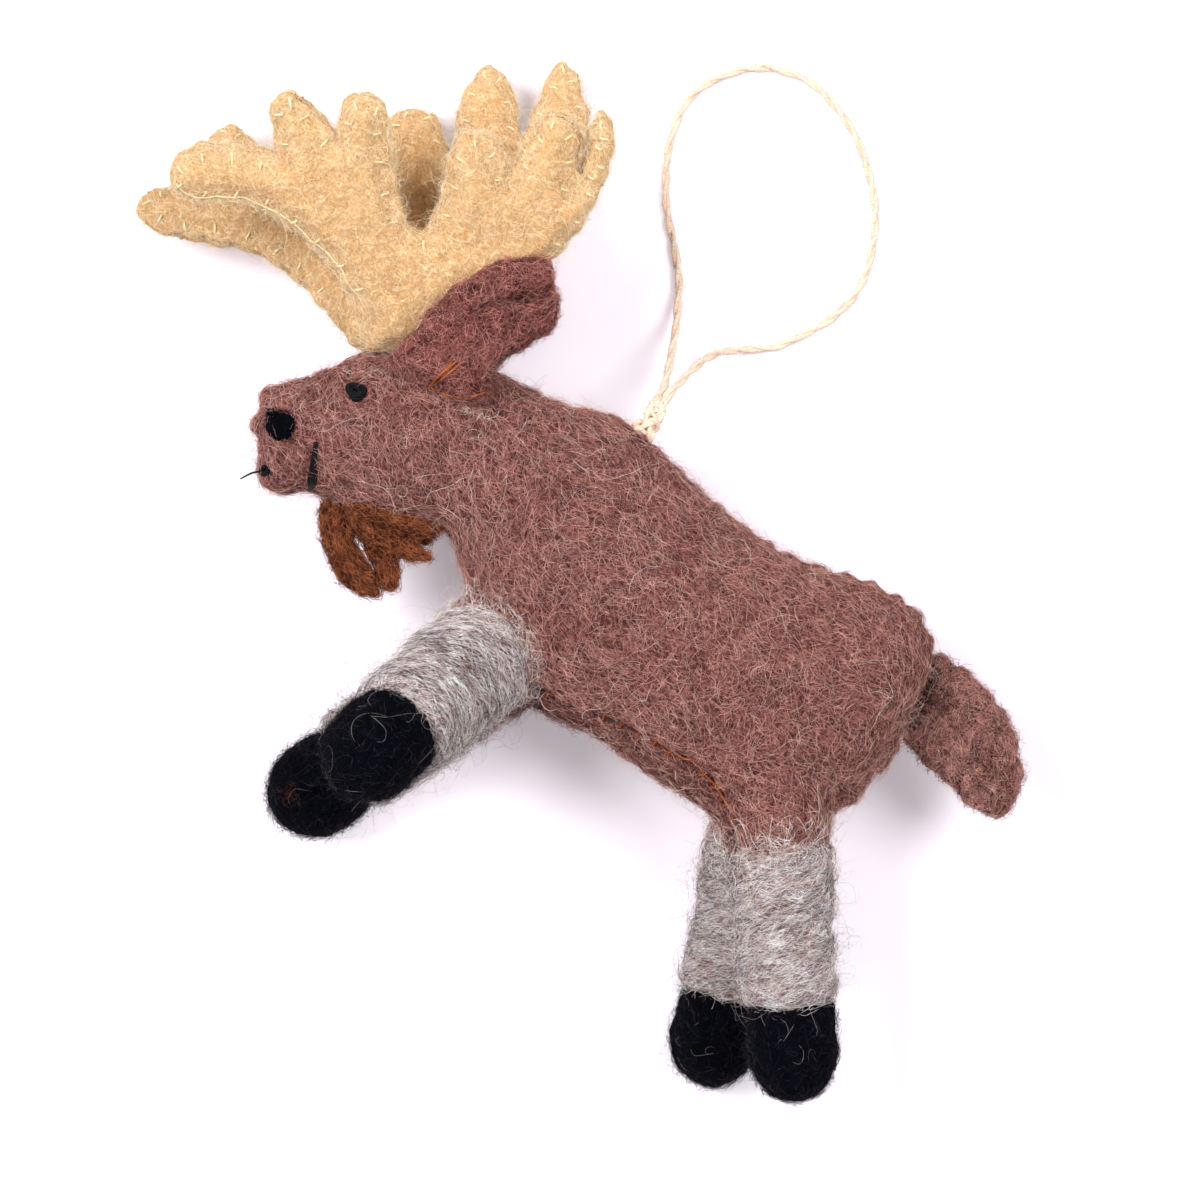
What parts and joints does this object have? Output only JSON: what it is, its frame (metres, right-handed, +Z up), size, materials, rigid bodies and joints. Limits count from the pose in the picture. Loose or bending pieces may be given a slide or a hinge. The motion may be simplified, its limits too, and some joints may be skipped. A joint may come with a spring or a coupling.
{
  "type": "moose ornament",
  "caption": "Stuffed felt moose with flat two-layer antlers, folded ears, a fringe bell, wool-wrapped legs, round hooves and a twine hanging loop.",
  "frame": {"origin": "bottom centre of the box round the ornament without its hanging loop, on the surface that it lies on", "axes": "+Z up from the surface, out of the left flank; +Y towards the antlers, across the back; +X from the muzzle towards the tail"},
  "size_m": [0.1214, 0.1437, 0.0456],
  "materials": {
    "body_felt": "brown wool felt, brushed",
    "stuffing": "loose wool filling",
    "black_thread": "black wool thread",
    "antler_felt": "tan wool felt, brushed",
    "ear_felt": "dusty brown wool felt",
    "leg_wool": "wound grey wool roving",
    "hoof_felt": "black wool felt, hard felted",
    "bell_felt": "rust brown wool felt",
    "twine": "twisted jute twine"
  },
  "bodies": {
    "body": {"torso_left_panel": "body_felt", "torso_right_panel": "body_felt", "belly_gusset": "body_felt", "torso_stuffing": "stuffing", "head_left_panel": "body_felt", "head_right_panel": "body_felt", "head_stuffing": "stuffing", "left_eye": "black_thread", "right_eye": "black_thread", "left_nostril": "black_thread", "right_nostril": "black_thread", "lip_knot": "black_thread", "left_mouth_stitch": "black_thread", "right_mouth_stitch": "black_thread", "left_antler_inner_felt": "antler_felt", "left_antler_outer_felt": "antler_felt", "right_antler_inner_felt": "antler_felt", "right_antler_outer_felt": "antler_felt", "loop_knot": "twine"},
    "left_ear": {"left_ear_felt": "ear_felt"},
    "right_ear": {"right_ear_felt": "ear_felt"},
    "tail": {"tail_left_panel": "body_felt", "tail_right_panel": "body_felt"},
    "front_left_leg": {"front_left_leg_wrap": "leg_wool", "front_left_leg_core": "body_felt", "front_left_hoof": "hoof_felt"},
    "front_right_leg": {"front_right_leg_wrap": "leg_wool", "front_right_leg_core": "body_felt", "front_right_hoof": "hoof_felt"},
    "hind_left_leg": {"hind_left_leg_wrap": "leg_wool", "hind_left_leg_core": "body_felt", "hind_left_hoof": "hoof_felt"},
    "hind_right_leg": {"hind_right_leg_wrap": "leg_wool", "hind_right_leg_core": "body_felt", "hind_right_hoof": "hoof_felt"},
    "bell": {"bell_band": "bell_felt", "bell_strand_1": "bell_felt", "bell_strand_2": "bell_felt", "bell_strand_3": "bell_felt", "bell_strand_4": "bell_felt"},
    "loop": {"hanging_loop": "twine"}
  },
  "joints": [
    {"name": "left_ear_flap", "type": "hinge", "parent": "body", "child": "left_ear", "pos_m": [-0.01905, 0.02661, 0.02595], "axis": [0.604, -0.797, 0], "range_deg": [0, 30], "stiffness_Nm_per_rad": 0.002},
    {"name": "right_ear_flap", "type": "hinge", "parent": "body", "child": "right_ear", "pos_m": [-0.01905, 0.02661, 0.00705], "axis": [-0.604, 0.797, 0], "range_deg": [0, 30], "stiffness_Nm_per_rad": 0.002},
    {"name": "tail_swing", "type": "hinge", "parent": "body", "child": "tail", "pos_m": [0.04676, -0.01633, 0.0165], "axis": [-0.3969, -0.9178, 0], "range_deg": [-20, 20], "stiffness_Nm_per_rad": 0.003},
    {"name": "front_left_leg_flex", "type": "hinge", "parent": "body", "child": "front_left_leg", "pos_m": [-0.01388, -0.01197, 0.024], "axis": [0, 0, 1], "range_deg": [-12, 12], "stiffness_Nm_per_rad": 0.005},
    {"name": "front_right_leg_flex", "type": "hinge", "parent": "body", "child": "front_right_leg", "pos_m": [-0.01745, -0.0163, 0.009], "axis": [0, 0, 1], "range_deg": [-12, 12], "stiffness_Nm_per_rad": 0.005},
    {"name": "hind_left_leg_flex", "type": "hinge", "parent": "body", "child": "hind_left_leg", "pos_m": [0.02771, -0.03943, 0.02325], "axis": [0, 0, 1], "range_deg": [-12, 12], "stiffness_Nm_per_rad": 0.005},
    {"name": "hind_right_leg_flex", "type": "hinge", "parent": "body", "child": "hind_right_leg", "pos_m": [0.02474, -0.03943, 0.00975], "axis": [0, 0, 1], "range_deg": [-12, 12], "stiffness_Nm_per_rad": 0.005},
    {"name": "bell_swing", "type": "hinge", "parent": "body", "child": "bell", "pos_m": [-0.03348, 0.00853, 0.0165], "axis": [0.969, -0.247, 0], "range_deg": [-20, 20], "stiffness_Nm_per_rad": 0.001},
    {"name": "loop_swing", "type": "hinge", "parent": "body", "child": "loop", "pos_m": [0.00953, 0.01986, 0.0165], "axis": [0.927, -0.375, 0], "range_deg": [0, 90]}
  ]
}
